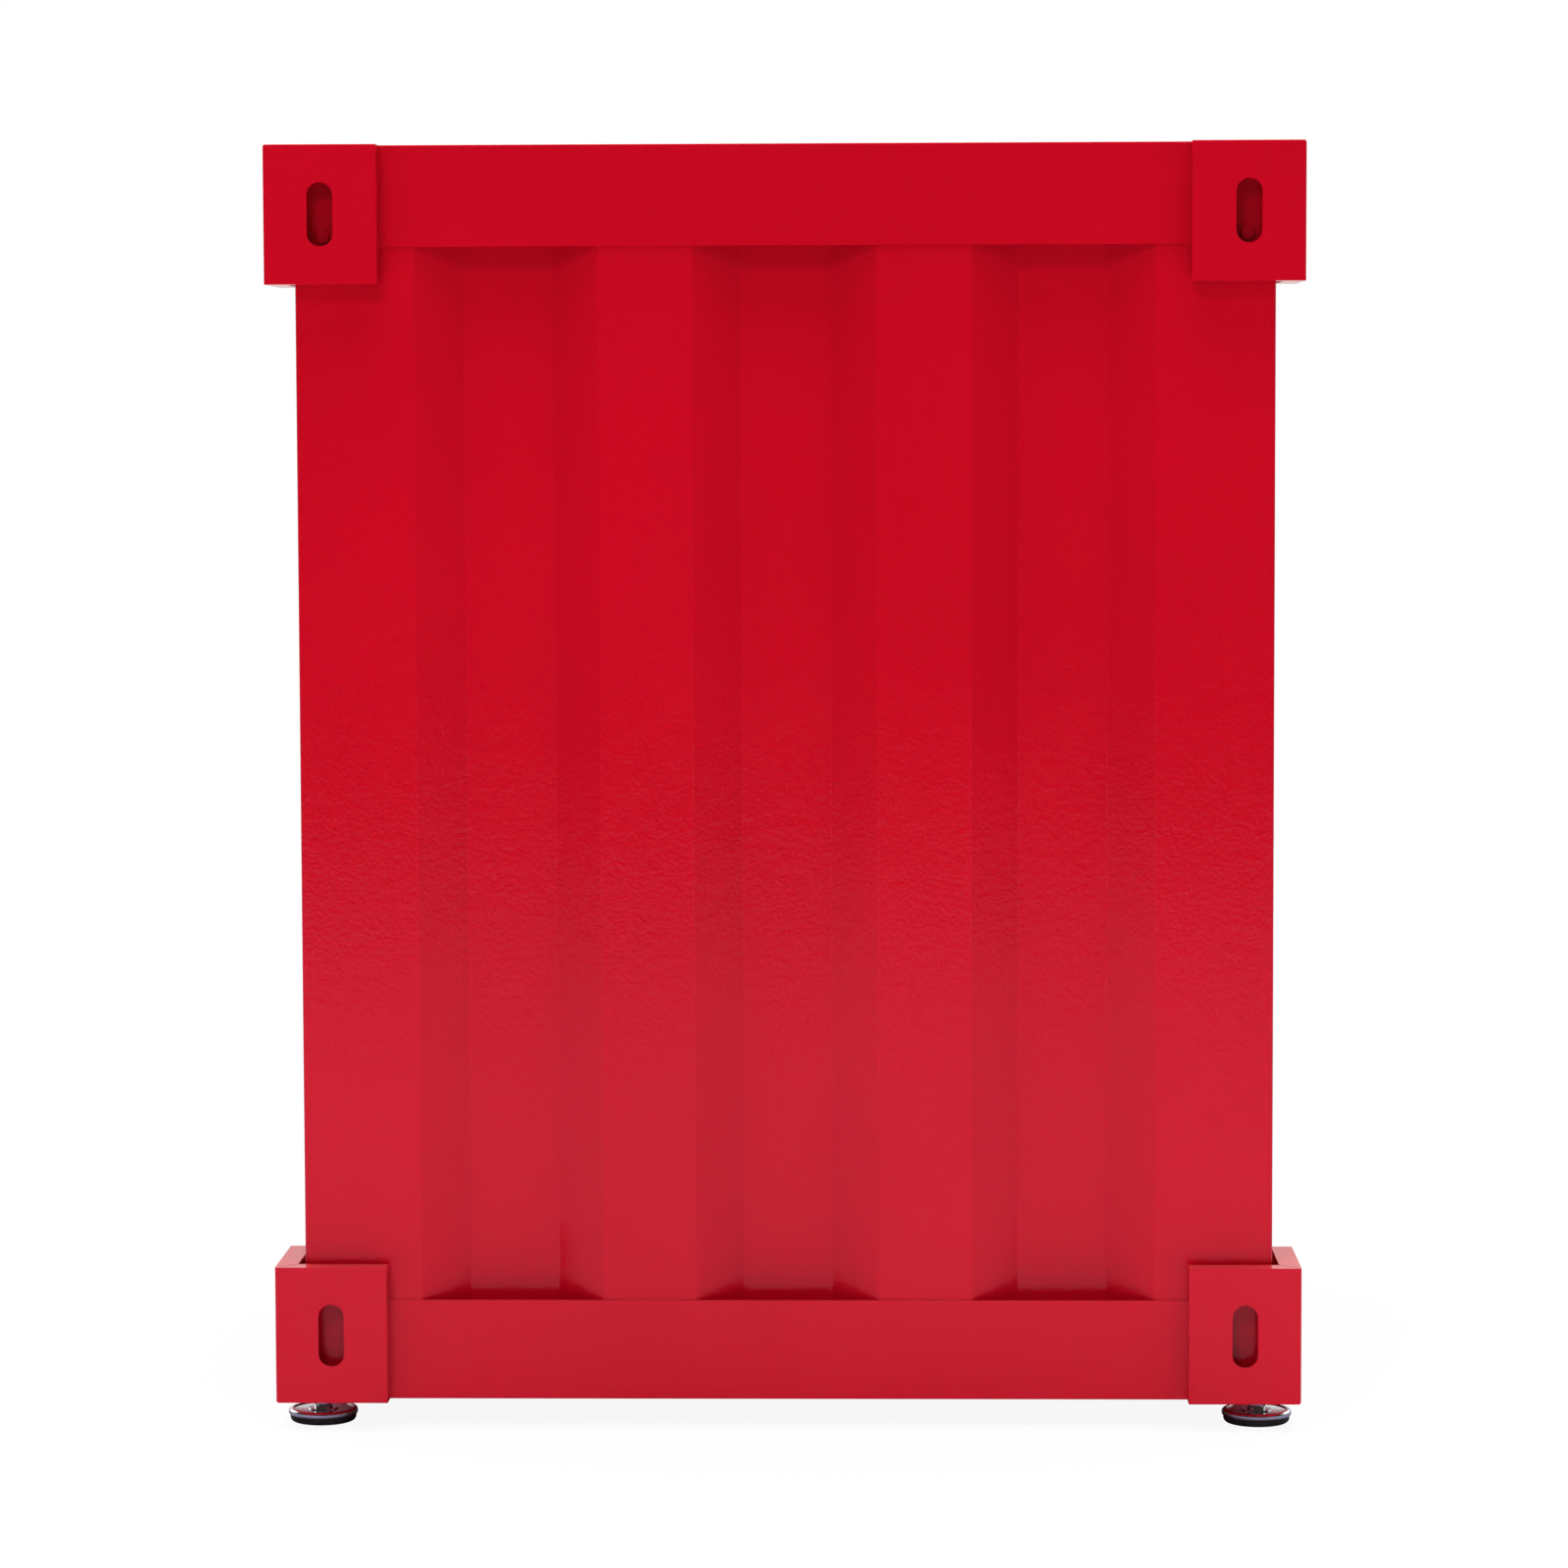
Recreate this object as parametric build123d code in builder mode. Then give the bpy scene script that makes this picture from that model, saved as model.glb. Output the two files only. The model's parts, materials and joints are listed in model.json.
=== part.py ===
"""Newspaper vending box built like a small freight container.

Corrugated steel walls stand between a ring of base rails and a ring of top rails, with a hollow
folded casting at each of the eight corners and a screw foot under each of the lower four.  The
service side (+Y) has a coin unit above a bottom-hinged window door.  The wall at -Y is plain.

Millimetres, +Z up.  The origin is on the floor, under the middle of the whole box, handle included.
"""

import os
from math import acos, cos, radians, sin

from build123d import *

# ---------------------------------------------------------------- driving dimensions
overall_width = 440.0  # across the corner castings
overall_depth = 400.0  # across the corner castings, without the handle
overall_height = 550.0  # floor to casting tops
foot_height = 12.0  # floor to casting bottoms, feet screwed right in

frame_sheet = 1.2  # rails and castings
wall_sheet = 1.0  # corrugated walls, posts, roof
fold = 2.0  # outside radius of a folded edge in wall sheet
frame_fold = 1.1  # outside radius of a folded edge in frame sheet

casting_width = 48.0  # along X
casting_depth = 56.0  # along Y
casting_height = 59.0
casting_proud = 10.5  # how far a casting stands out from the rails
casting_lip = 9.0  # turned-in flange at a casting's open end
lip_slit = 0.5  # open mitre between two lips
slot_width = 11.0
slot_length = 27.0

rivet_radius = 1.6
rivet_rise = 4.5  # bottom of an upper slot to the rivet seen through it
rivet_foot = 9.0  # bottom of a lower casting to the rivet behind it

rail_height = 43.0
rail_flange = 25.0

groove_count = 3
groove_edge_end = 50.3  # flat edge of the back wall to its first groove
groove_edge_side = 27.8  # flat edge of a side wall to its first groove
groove_mouth = 79.0
groove_floor = 38.0
groove_depth = 14.0
wall_wrap = 15.0  # how far a wall or post wraps round the corner
lap_gap = 1.5  # edge of a side wall to the fold that it laps

foot_inset_x = 17.5  # casting's side face to the foot
foot_inset_y = 24.0
foot_radius = 15.0
pad_height = 2.8
cup_height = 3.0
cup_dish = 0.5  # how far the cup's top lies below its rim
rim_round = 1.2
pad_tuck = 0.7  # how far the rubber pad stands in from the cup's rim
pad_round = 2.0
stud_radius = 3.95  # M8
stud_length = 42.0
nut_radius = 5.5
nut_height = 8.0

floor_sheet = 1.5
floor_rim = 14.0
anchor_inset_x = 70.0  # outside of the castings to the anchor holes
anchor_inset_y = 80.0
anchor_hole = 11.0
roof_rib_count = 4
roof_rib_depth = 4.0
platform_rise = 9.0  # base rails to the shelf that the papers stand on
platform_front_gap = 36.0  # door hinge to the shelf's front edge

post_jamb = 32.0  # depth of the return beside the door
door_clear = 2.0  # gap round the door
door_sheet = 1.2
door_depth = 18.0
door_angle = 75.0  # how far the door opens
hinge_radius = 2.5
hinge_skin = 0.4  # coil to the door's skin
hinge_lift = 1.4  # coil to the door's bottom flange
window_side = 34.0  # door's edges to the window
window_head = 61.0
window_sill = 50.0
window_lap = 12.0  # how far the pane laps the door skin
pane_sheet = 3.0
retainer_rim = 10.0
retainer_sheet = 1.5
pocket_depth = 8.0  # room for the display copy
tail_angle = 220.0  # from straight out, towards the top of the door
tail_reach = 30.0
tail_width = 8.0
stop_reach = 26.0  # hinge rod to the stop pin
stop_radius = 2.5
spring_wire = 1.6
spring_bore = 0.3  # hinge rod to the coil round it
spring_pitch = 1.9
spring_turns = 6
spring_leg = 12.0

handle_standoff = 35.0  # door face to the front of the handle
handle_bar = 10.0
handle_span = 124.0
handle_drop = 26.0  # door's top edge to the handle

coin_gap = 2.4  # door's top edge to the coin fascia
fascia_flange = 14.0
coin_band = 117.0  # top rails to the door's top edge
coin_inset = 83.0  # front opening's edge to the coin slot
slot_drop = 33.0  # top rails to the coin slot
coin_slot = 3.2
coin_slot_length = 28.0
button_gap = 38.0  # coin slot to the return button
button_travel = 6.0
cup_width = 56.0
cup_tall = 36.0
cup_deep = 34.0
flap_angle = 55.0
drawer_inset = 83.0  # front opening's edge to the middle of the drawer
drawer_drop = 55.0  # top rails to the middle of the drawer
drawer_width = 130.0
drawer_height = 88.0
drawer_depth = 112.0
drawer_lap = 6.0  # front plate's edge to the hole that it covers
drawer_plate = 2.5
mech_depth = 115.0
mech_sheet = 1.2
pivot_radius = 1.2
lock_radius = 9.0
plug_radius = 5.5
cam_sheet = 2.0
cam_length = 27.0

latch_setback = 59.0  # door face to the latch pivot
latch_lift = 16.0  # how far the hook swings between free and caught
tooth_back = 29.8  # latch pivot to the near side of the tooth
strike_drop = 10.0
strike_width = 30.0
strike_sheet = 2.0
strike_lip = 8.0

latch_rise = 8.6  # fascia flange to the latch pivot
hook_half = 3.0

running = 0.05  # radial clearance of a pin that turns in its hole
seat = 0.3  # gap between pieces that only sit beside each other

# ---------------------------------------------------------------- levels and planes from them
total_depth = overall_depth + handle_standoff - casting_proud
y_back = -total_depth / 2
y_front = y_back + overall_depth
y_middle = (y_back + y_front) / 2

back_face = y_back + casting_proud  # outer faces of the rails
front_face = y_front - casting_proud
side_face = overall_width / 2 - casting_proud
wall_back = back_face + frame_sheet  # outer faces of the walls and posts
wall_front = front_face - frame_sheet
wall_side = side_face - frame_sheet

base_z = foot_height
base_top = base_z + frame_sheet
roof_top = overall_height - frame_sheet
roof_bottom = roof_top - wall_sheet
mid_z = (base_z + overall_height) / 2
wall_height = roof_bottom - base_top
rail_top = base_z + rail_height
platform_top = rail_top + platform_rise
header_z = overall_height - rail_height

casting_in = overall_width / 2 - casting_width  # inner edges of the castings
opening_half = casting_in - 1.0  # half the clear width between the front posts
door_bottom = rail_top + door_clear
door_top = header_z - coin_band
door_height = door_top - door_bottom
door_half = opening_half - door_clear
window_width = 2 * (door_half - window_side)
window_height = door_height - window_sill - window_head
coin_x = opening_half - coin_inset
button_x = coin_x - button_gap
slot_z = header_z - slot_drop
drawer_x = drawer_inset - opening_half
drawer_z = header_z - drawer_drop
anchor_spacing_x = overall_width - 2 * anchor_inset_x
anchor_spacing_y = overall_depth - 2 * anchor_inset_y

mirror_x = Plane.YZ
mirror_y = Plane.XZ.offset(-y_middle)
mirror_z = Plane.XY.offset(mid_z)

os.makedirs("parts", exist_ok=True)


def keep(builder, name):
    """Labels a finished piece and writes it as a STEP file."""
    builder.part.label = name
    export_step(builder.part, f"parts/{name}.step")


def block(x, y, z, mode=Mode.ADD):
    """A box between two limits along each axis."""
    low = (min(x), min(y), min(z))
    size = (abs(x[1] - x[0]), abs(y[1] - y[0]), abs(z[1] - z[0]))
    with Locations(low):
        Box(*size, align=(Align.MIN, Align.MIN, Align.MIN), mode=mode)


def rod(radius, start, end, mode=Mode.ADD):
    """A cylinder from one point to another."""
    axis = Vector(*end) - Vector(*start)
    with Locations(Plane(origin=start, z_dir=axis)):
        Cylinder(radius, axis.length, align=(Align.CENTER, Align.CENTER, Align.MIN), mode=mode)


def mirrored(piece, plane):
    """A mirror-image twin of a piece."""
    with BuildPart() as twin:
        add(piece.part)
        mirror(about=plane, mode=Mode.REPLACE)
    return twin


# ---------------------------------------------------------------- corrugated walls
foot_x = overall_width / 2 - foot_inset_x
foot_back = y_back + foot_inset_y
foot_front = y_front - foot_inset_y
foot_places = [(x, y) for x in (-foot_x, foot_x) for y in (foot_back, foot_front)]
stud_top = pad_height + stud_length


rivet_x = (overall_width - casting_width) / 2
rivet_drop = casting_height / 2 + slot_length / 2 - rivet_rise
rivet_z = (base_z + rivet_foot, overall_height - rivet_drop)
rivet_places = [(x, z) for x in (-rivet_x, rivet_x) for z in rivet_z]
rivet_lines = [(back_face, 1), (front_face, -1)]  # face that the heads sit on, and the way in


def rivet_holes():
    """Drills a rail or wall for the rivets that join the end rails to the walls."""
    for face, inward in rivet_lines:
        for x, z in rivet_places:
            end = face + inward * (frame_sheet + wall_sheet + 1)
            rod(rivet_radius, (x, face, z), (x, end, z), mode=Mode.SUBTRACT)


def clear_the_feet():
    """Notches a wall's bottom corners round the nuts and studs of the feet."""
    for x, y in foot_places:
        rod(nut_radius + 2.5, (x, y, 0), (x, y, stud_top + 2), mode=Mode.SUBTRACT)


def groove_folds(half_length, edge):
    """Fold points of the outer face of a corrugated wall; y runs into the box."""
    first = edge + groove_mouth / 2 - half_length
    pitch = -2 * first / (groove_count - 1)
    for n in range(groove_count):
        centre = first + n * pitch
        yield (centre - groove_mouth / 2, 0)
        yield (centre - groove_floor / 2, groove_depth)
        yield (centre + groove_floor / 2, groove_depth)
        yield (centre + groove_mouth / 2, 0)


def folded_sheet(points, radius, thickness):
    """The section of a sheet folded along points, thickened to the left of its outer face."""
    with BuildSketch() as section:
        with BuildLine():
            FilletPolyline(*points, radius=radius)
            offset(amount=thickness, side=Side.LEFT)
        make_face()
    return section.sketch


def wall(plane, outline):
    """A folded wall standing on the base rails."""
    with BuildPart() as piece:
        extrude(plane * folded_sheet(outline, fold, wall_sheet), amount=wall_height)
        clear_the_feet()
        rivet_holes()
    return piece


back_plane = Plane((0, wall_back, base_top))
back_outline = [
    (-wall_side, wall_wrap),
    (-wall_side, 0),
    *groove_folds(wall_side, groove_edge_end),
    (wall_side, 0),
    (wall_side, wall_wrap),
]
keep(wall(back_plane, back_outline), "back_wall")

lapped_half = (wall_front - wall_back) / 2 - wall_sheet - lap_gap
side_plane = Plane(
    origin=(-wall_side + wall_sheet, y_middle, base_top), x_dir=(0, -1, 0), z_dir=(0, 0, 1)
)
side_outline = [(-lapped_half, 0), *groove_folds(lapped_half, groove_edge_side), (lapped_half, 0)]
left_wall = wall(side_plane, side_outline)
keep(left_wall, "left_wall")
keep(mirrored(left_wall, mirror_x), "right_wall")

post_outline = [
    (-opening_half, wall_front - post_jamb),
    (-opening_half, wall_front),
    (-wall_side, wall_front),
    (-wall_side, wall_front - wall_wrap),
]
left_post = wall(Plane((0, 0, base_top)), post_outline)


# ---------------------------------------------------------------- rails
def rail(plane, face_length, flange_length):
    """A base rail: an upright face on the plane's XZ side and a flange turned in along the floor."""
    with BuildPart(plane) as piece:
        block((-face_length / 2, face_length / 2), (0, frame_sheet), (frame_sheet, rail_height))
        block((-flange_length / 2, flange_length / 2), (0, rail_flange), (0, frame_sheet))
        outside = piece.edges().filter_by(
            lambda e: abs(e.length - flange_length) < 0.01
            and plane.to_local_coords(e.center()).length < 0.01
        )
        fillet(outside, frame_fold)
    return piece


rail_planes = {
    "back": Plane((0, back_face, base_z), x_dir=(1, 0, 0), z_dir=(0, 0, 1)),
    "front": Plane((0, front_face, base_z), x_dir=(-1, 0, 0), z_dir=(0, 0, 1)),
    "left": Plane((-side_face, y_middle, base_z), x_dir=(0, -1, 0), z_dir=(0, 0, 1)),
    "right": Plane((side_face, y_middle, base_z), x_dir=(0, 1, 0), z_dir=(0, 0, 1)),
}
end_rail = (2 * side_face, 2 * casting_in)
side_rail = (front_face - back_face - 2 * frame_sheet, overall_depth - 2 * casting_depth)
for side, plane in rail_planes.items():
    undrilled = rail(plane, *(end_rail if side in ("back", "front") else side_rail))
    for level, piece in (("base", undrilled), ("top", mirrored(undrilled, mirror_z))):
        with BuildPart() as drilled:
            add(piece.part)
            rivet_holes()
        keep(drilled, f"{level}_rail_{side}")

with BuildPart() as rivets:
    for face, inward in rivet_lines:
        inner = face + inward * (frame_sheet + wall_sheet)
        for x, z in rivet_places:
            rod(rivet_radius, (x, face, z), (x, inner, z))
            rod(rivet_radius + 1.6, (x, face - inward * 1.2, z), (x, face, z))
            rod(rivet_radius + 1.0, (x, inner, z), (x, inner + inward * 1.5, z))
    head_out = front_face - y_middle + 1.0
    rims = rivets.edges().filter_by(GeomType.CIRCLE)
    fillet(rims.filter_by(lambda e: abs(e.center().Y - y_middle) > head_out), 0.8)
keep(rivets, "frame_rivets")

# ---------------------------------------------------------------- corner castings
def slot(plane, depth):
    """An upright round-ended slot cut inwards from a plane on a casting's face."""
    with BuildPart(mode=Mode.PRIVATE) as cutter:
        with BuildSketch(plane):
            SlotOverall(slot_length, slot_width, rotation=90)
        extrude(amount=-depth)
    add(cutter.part, mode=Mode.SUBTRACT)


left_x = -overall_width / 2
casting_x = (left_x, left_x + casting_width)
casting_y = (y_back, y_back + casting_depth)
casting_z = (overall_height - casting_height, overall_height)
casting_middle_x = sum(casting_x) / 2
casting_middle_y = sum(casting_y) / 2
casting_middle_z = sum(casting_z) / 2

with BuildPart() as upper_casting:
    block(casting_x, casting_y, casting_z)
    outer = upper_casting.edges().filter_by(
        lambda e: (abs(e.center().X - casting_x[0]) < 0.01 and abs(e.center().Y - casting_y[0]) < 0.01)
        or (abs(e.center().Z - casting_z[1]) < 0.01 and abs(e.center().X - casting_x[0]) < 0.01)
        or (abs(e.center().Z - casting_z[1]) < 0.01 and abs(e.center().Y - casting_y[0]) < 0.01)
    )
    fillet(outer, frame_fold)
    # hollow behind the two faces, then the room for the rails and walls
    hollow_z = (casting_z[0] + frame_sheet, casting_z[1] - frame_sheet)
    inner_x = (casting_x[0] + frame_sheet, casting_x[1] - frame_sheet)
    inner_y = (casting_y[0] + frame_sheet, casting_y[1] - frame_sheet)
    block(inner_x, inner_y, hollow_z, mode=Mode.SUBTRACT)
    frame_x = (-side_face, casting_x[1])
    frame_y = (back_face, casting_y[1])
    block(frame_x, frame_y, (casting_z[0], hollow_z[1]), mode=Mode.SUBTRACT)
    # the open end keeps a lip along each face, mitred at the corner
    lip_x = (casting_x[0] + casting_lip, casting_x[1])
    lip_y = (casting_y[0] + casting_lip, casting_y[1])
    block(lip_x, lip_y, (casting_z[0], hollow_z[0]), mode=Mode.SUBTRACT)
    corner = Plane((casting_x[0] + frame_sheet, casting_y[0] + frame_sheet, casting_z[0]))
    with Locations(corner * Rotation(0, 0, 45)):
        reach = 2 * casting_lip
        Box(reach, lip_slit, frame_sheet, align=(Align.MIN, Align.CENTER, Align.MIN), mode=Mode.SUBTRACT)
    back_middle = (casting_middle_x, casting_y[0], casting_middle_z)
    side_middle = (casting_x[0], casting_middle_y, casting_middle_z)
    slot(Plane(back_middle, x_dir=(1, 0, 0), z_dir=(0, -1, 0)), frame_sheet)
    slot(Plane(side_middle, x_dir=(0, -1, 0), z_dir=(-1, 0, 0)), frame_sheet)

lower_casting = mirrored(upper_casting, mirror_z)
with BuildPart() as footed_casting:
    add(lower_casting.part)
    rod(stud_radius + seat, (-foot_x, foot_back, base_z), (-foot_x, foot_back, base_top), mode=Mode.SUBTRACT)

for level, casting in (("upper", upper_casting), ("lower", footed_casting)):
    front = mirrored(casting, mirror_y)
    keep(casting, f"casting_{level}_back_left")
    keep(mirrored(casting, mirror_x), f"casting_{level}_back_right")
    keep(front, f"casting_{level}_front_left")
    keep(mirrored(front, mirror_x), f"casting_{level}_front_right")

# ---------------------------------------------------------------- feet
with BuildPart() as foot_nuts:
    for x, y in foot_places:
        rod(nut_radius, (x, y, base_top), (x, y, base_top + nut_height))
        rod(stud_radius + running, (x, y, base_top), (x, y, base_top + nut_height), mode=Mode.SUBTRACT)
keep(foot_nuts, "foot_nuts")

foot_names = ["back_left", "front_left", "back_right", "front_right"]
cup_top = pad_height + cup_height
for name, (x, y) in zip(foot_names, foot_places):
    with BuildPart() as pad:
        rod(foot_radius - pad_tuck, (x, y, 0), (x, y, pad_height))
        fillet(pad.edges().filter_by(GeomType.CIRCLE).sort_by(Axis.Z)[0], pad_round)
    keep(pad, f"foot_pad_{name}")
    with BuildPart() as screw:
        rod(foot_radius, (x, y, pad_height), (x, y, cup_top))
        fillet(screw.edges().filter_by(GeomType.CIRCLE), rim_round)
        rod(foot_radius - 2, (x, y, cup_top - cup_dish), (x, y, cup_top), mode=Mode.SUBTRACT)
        rod(stud_radius + 2.5, (x, y, cup_top - cup_dish), (x, y, cup_top))
        rod(stud_radius, (x, y, pad_height), (x, y, stud_top))
        chamfer(screw.edges().sort_by(Axis.Z)[-1], 0.8)
    keep(screw, f"foot_screw_{name}")

# ---------------------------------------------------------------- roof, floor and shelf
with BuildPart() as roof:
    inset = seat + wall_sheet
    roof_x = wall_side - inset
    roof_y = (wall_back + inset, wall_front - inset)
    block((-roof_x, roof_x), roof_y, (roof_bottom, roof_top))
    clear_x = 2 * (side_face - rail_flange) - 30
    clear_y = front_face - back_face - 2 * rail_flange - 30
    rib_pitch = clear_x / roof_rib_count
    with BuildSketch(Plane((0, y_middle, roof_top))):
        with GridLocations(rib_pitch, 0, roof_rib_count, 1):
            RectangleRounded(0.6 * rib_pitch, clear_y, 8)
    extrude(amount=-(roof_rib_depth + wall_sheet), taper=35)
    with BuildSketch(Plane((0, y_middle, roof_top))):
        with GridLocations(rib_pitch, 0, roof_rib_count, 1):
            RectangleRounded(0.6 * rib_pitch - 2 * wall_sheet, clear_y - 2 * wall_sheet, 8 - wall_sheet)
    extrude(amount=-roof_rib_depth, taper=35, mode=Mode.SUBTRACT)
keep(roof, "roof_panel")

tray_half_x = wall_side - 2 * wall_sheet - groove_depth - 2 * seat
tray_back = wall_back + wall_sheet + groove_depth + seat
anchor_x = anchor_spacing_x / 2
anchor_y = (y_middle - anchor_spacing_y / 2, y_middle + anchor_spacing_y / 2)
anchor_places = [(x, y) for x in (-anchor_x, anchor_x) for y in anchor_y]
tray_front = wall_front - post_jamb - seat
with BuildPart() as floor_tray:
    tray_x = (-tray_half_x, tray_half_x)
    block(tray_x, (tray_back, tray_front), (base_top, base_top + floor_rim))
    inner_x = (-tray_half_x + floor_sheet, tray_half_x - floor_sheet)
    inner_y = (tray_back + floor_sheet, tray_front - floor_sheet)
    block(inner_x, inner_y, (base_top + floor_sheet, base_top + floor_rim), mode=Mode.SUBTRACT)
    for x, y in anchor_places:
        rod(anchor_hole / 2, (x, y, base_top), (x, y, base_top + floor_sheet), mode=Mode.SUBTRACT)
keep(floor_tray, "floor_tray")

spring_mean = hinge_radius + spring_bore + spring_wire / 2
spring_out = spring_mean + spring_wire / 2
hinge_y = front_face - door_sheet - hinge_skin - spring_out
hinge_z = door_bottom + door_sheet + hinge_lift + spring_out
latch_y = front_face - latch_setback
spring_length = spring_pitch * (spring_turns + 0.25)
spring_start = -(door_half - door_sheet - 2)
spring_hole_x = spring_start + spring_length
with BuildPart() as platform:
    shelf_x = tray_half_x - floor_sheet - seat
    shelf_y = (tray_back + floor_sheet + seat, hinge_y - platform_front_gap)
    shelf_z = (base_top + floor_sheet, platform_top)
    block((-shelf_x, shelf_x), shelf_y, shelf_z)
    fillet(platform.edges().group_by(Axis.Z)[-1], fold)
    inner_y = (shelf_y[0] + wall_sheet, shelf_y[1] - wall_sheet)
    inner_z = (shelf_z[0], shelf_z[1] - wall_sheet)
    block((-shelf_x + wall_sheet, shelf_x - wall_sheet), inner_y, inner_z, mode=Mode.SUBTRACT)
    for x in (-spring_hole_x, spring_hole_x):
        leg_z = hinge_z - spring_mean
        rod(spring_wire / 2 + seat, (x, inner_y[1], leg_z), (x, shelf_y[1], leg_z), mode=Mode.SUBTRACT)
keep(platform, "paper_shelf")

# ---------------------------------------------------------------- door
skin_back = front_face - door_sheet
door_back = front_face - door_depth
window_z = (door_bottom + window_sill, door_bottom + window_sill + window_height)
window_middle = sum(window_z) / 2
pane_back = skin_back - pane_sheet
retainer_back = pane_back - retainer_sheet
lapped_width = window_width + 2 * window_lap
lapped_height = window_height + 2 * window_lap
retainer_width = lapped_width + 2 * (seat + retainer_rim)
retainer_height = lapped_height + 2 * (seat + retainer_rim)


def front_plane(x, y, z):
    """A plane facing the front, with its X axis along the box's."""
    return Plane((x, y, z), x_dir=(1, 0, 0), z_dir=(0, -1, 0))


def panel(x, y, z, size, corner, mode=Mode.ADD):
    """A round-cornered plate between two depths, centred on x and z."""
    with BuildPart(mode=Mode.PRIVATE) as plate:
        with BuildSketch(front_plane(x, max(y), z)):
            RectangleRounded(*size, corner)
        extrude(amount=abs(y[1] - y[0]))
    add(plate.part, mode=mode)


with BuildPart() as door_pan:
    block((-door_half, door_half), (door_back, front_face), (door_bottom, door_top))
    fillet(door_pan.edges().group_by(Axis.Y)[-1], frame_fold)
    inner_x = (-door_half + door_sheet, door_half - door_sheet)
    inner_z = (door_bottom + door_sheet, door_top - door_sheet)
    block(inner_x, (door_back, skin_back), inner_z, mode=Mode.SUBTRACT)
    # a tail below the hinge on each side meets the stop when the door is down
    for x in (-door_half, door_half - door_sheet):
        with BuildSketch(Plane((x, hinge_y, hinge_z), x_dir=(0, 1, 0), z_dir=(1, 0, 0))):
            with Locations(Location((0, 0), tail_angle)):
                Rectangle(tail_reach, tail_width, align=(Align.MIN, Align.CENTER))
        extrude(amount=door_sheet)
    window_size = (window_width, window_height)
    panel(0, (skin_back, front_face), window_middle, window_size, 10, mode=Mode.SUBTRACT)
    hinge_ends = ((-door_half, hinge_y, hinge_z), (door_half, hinge_y, hinge_z))
    rod(hinge_radius + running, *hinge_ends, mode=Mode.SUBTRACT)
    # the springs' shelf legs pass through the bottom flange
    for x in (-spring_hole_x, spring_hole_x):
        leg_room = (x - spring_wire - 1, x + spring_wire + 1)
        block(leg_room, (door_back, hinge_y), (door_bottom, inner_z[0]), mode=Mode.SUBTRACT)
keep(door_pan, "door_pan")

with BuildPart() as pane:
    panel(0, (pane_back, skin_back), window_middle, (lapped_width, lapped_height), 4)
keep(pane, "window_pane")

screw_x = retainer_width / 2 - retainer_rim / 2
screw_z = retainer_height / 2 - retainer_rim / 2
screw_grid = [(x, z) for x in (-1, 0, 1) for z in (-1, 0, 1) if x or z]
retainer_screws_at = [(x * screw_x, window_middle + z * screw_z) for x, z in screw_grid]
with BuildPart() as retainer:
    panel(0, (retainer_back, skin_back), window_middle, (retainer_width, retainer_height), 8)
    pane_room = (lapped_width + 2 * seat, lapped_height + 2 * seat)
    panel(0, (pane_back, skin_back), window_middle, pane_room, 4, mode=Mode.SUBTRACT)
    panel(0, (retainer_back, pane_back), window_middle, window_size, 10, mode=Mode.SUBTRACT)
    for x, z in retainer_screws_at:
        rod(1.55, (x, retainer_back, z), (x, skin_back, z), mode=Mode.SUBTRACT)
keep(retainer, "window_retainer")

with BuildPart() as retainer_screws:
    for x, z in retainer_screws_at:
        rod(1.5, (x, retainer_back, z), (x, skin_back, z))
        rod(3.2, (x, retainer_back - 1.8, z), (x, retainer_back, z))
    fillet(retainer_screws.edges().filter_by(GeomType.CIRCLE).group_by(Axis.Y)[0], 0.9)
keep(retainer_screws, "retainer_screws")

pocket_x = lapped_width / 2 - seat
pocket_z = (window_middle - lapped_height / 2 + seat, window_middle)
pocket_back = retainer_back - pocket_depth - wall_sheet
with BuildPart() as pocket:
    block((-pocket_x, pocket_x), (pocket_back, retainer_back), pocket_z)
    inner_x = (-pocket_x + wall_sheet, pocket_x - wall_sheet)
    inner_y = (pocket_back + wall_sheet, retainer_back)
    inner_z = (pocket_z[0] + wall_sheet, pocket_z[1])
    block(inner_x, inner_y, inner_z, mode=Mode.SUBTRACT)
keep(pocket, "copy_pocket")

handle_y = front_face + handle_standoff - handle_bar / 2
handle_z = door_top - handle_drop
grip_half = (handle_span - handle_bar) / 2
with BuildPart() as handle:
    with BuildLine(Plane((0, 0, handle_z))) as grip:
        FilletPolyline(
            (-grip_half, front_face),
            (-grip_half, handle_y),
            (grip_half, handle_y),
            (grip_half, front_face),
            radius=12,
        )
    with BuildSketch(Plane((-grip_half, front_face, handle_z), z_dir=(0, 1, 0))):
        Circle(handle_bar / 2)
    sweep(path=grip.wires()[0])
keep(handle, "door_handle")

strike_top = door_top - strike_drop
strike_back = latch_y + tooth_back - seat - strike_sheet - 0.2
with BuildPart() as strike:
    strike_x = (-strike_width / 2, strike_width / 2)
    block(strike_x, (skin_back - strike_sheet, skin_back), (strike_top - 20, strike_top))
    block(strike_x, (strike_back, skin_back), (strike_top - strike_sheet, strike_top))
    block(strike_x, (strike_back, strike_back + strike_sheet), (strike_top, strike_top + strike_lip))
keep(strike, "latch_strike")

# ---------------------------------------------------------------- door hinge, stops and posts
jamb_back = opening_half + wall_sheet
with BuildPart() as hinge_rod:
    rod(hinge_radius, (-jamb_back - 3, hinge_y, hinge_z), (jamb_back + 3, hinge_y, hinge_z))
    chamfer(hinge_rod.edges(), 0.5)
keep(hinge_rod, "hinge_rod")

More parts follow.
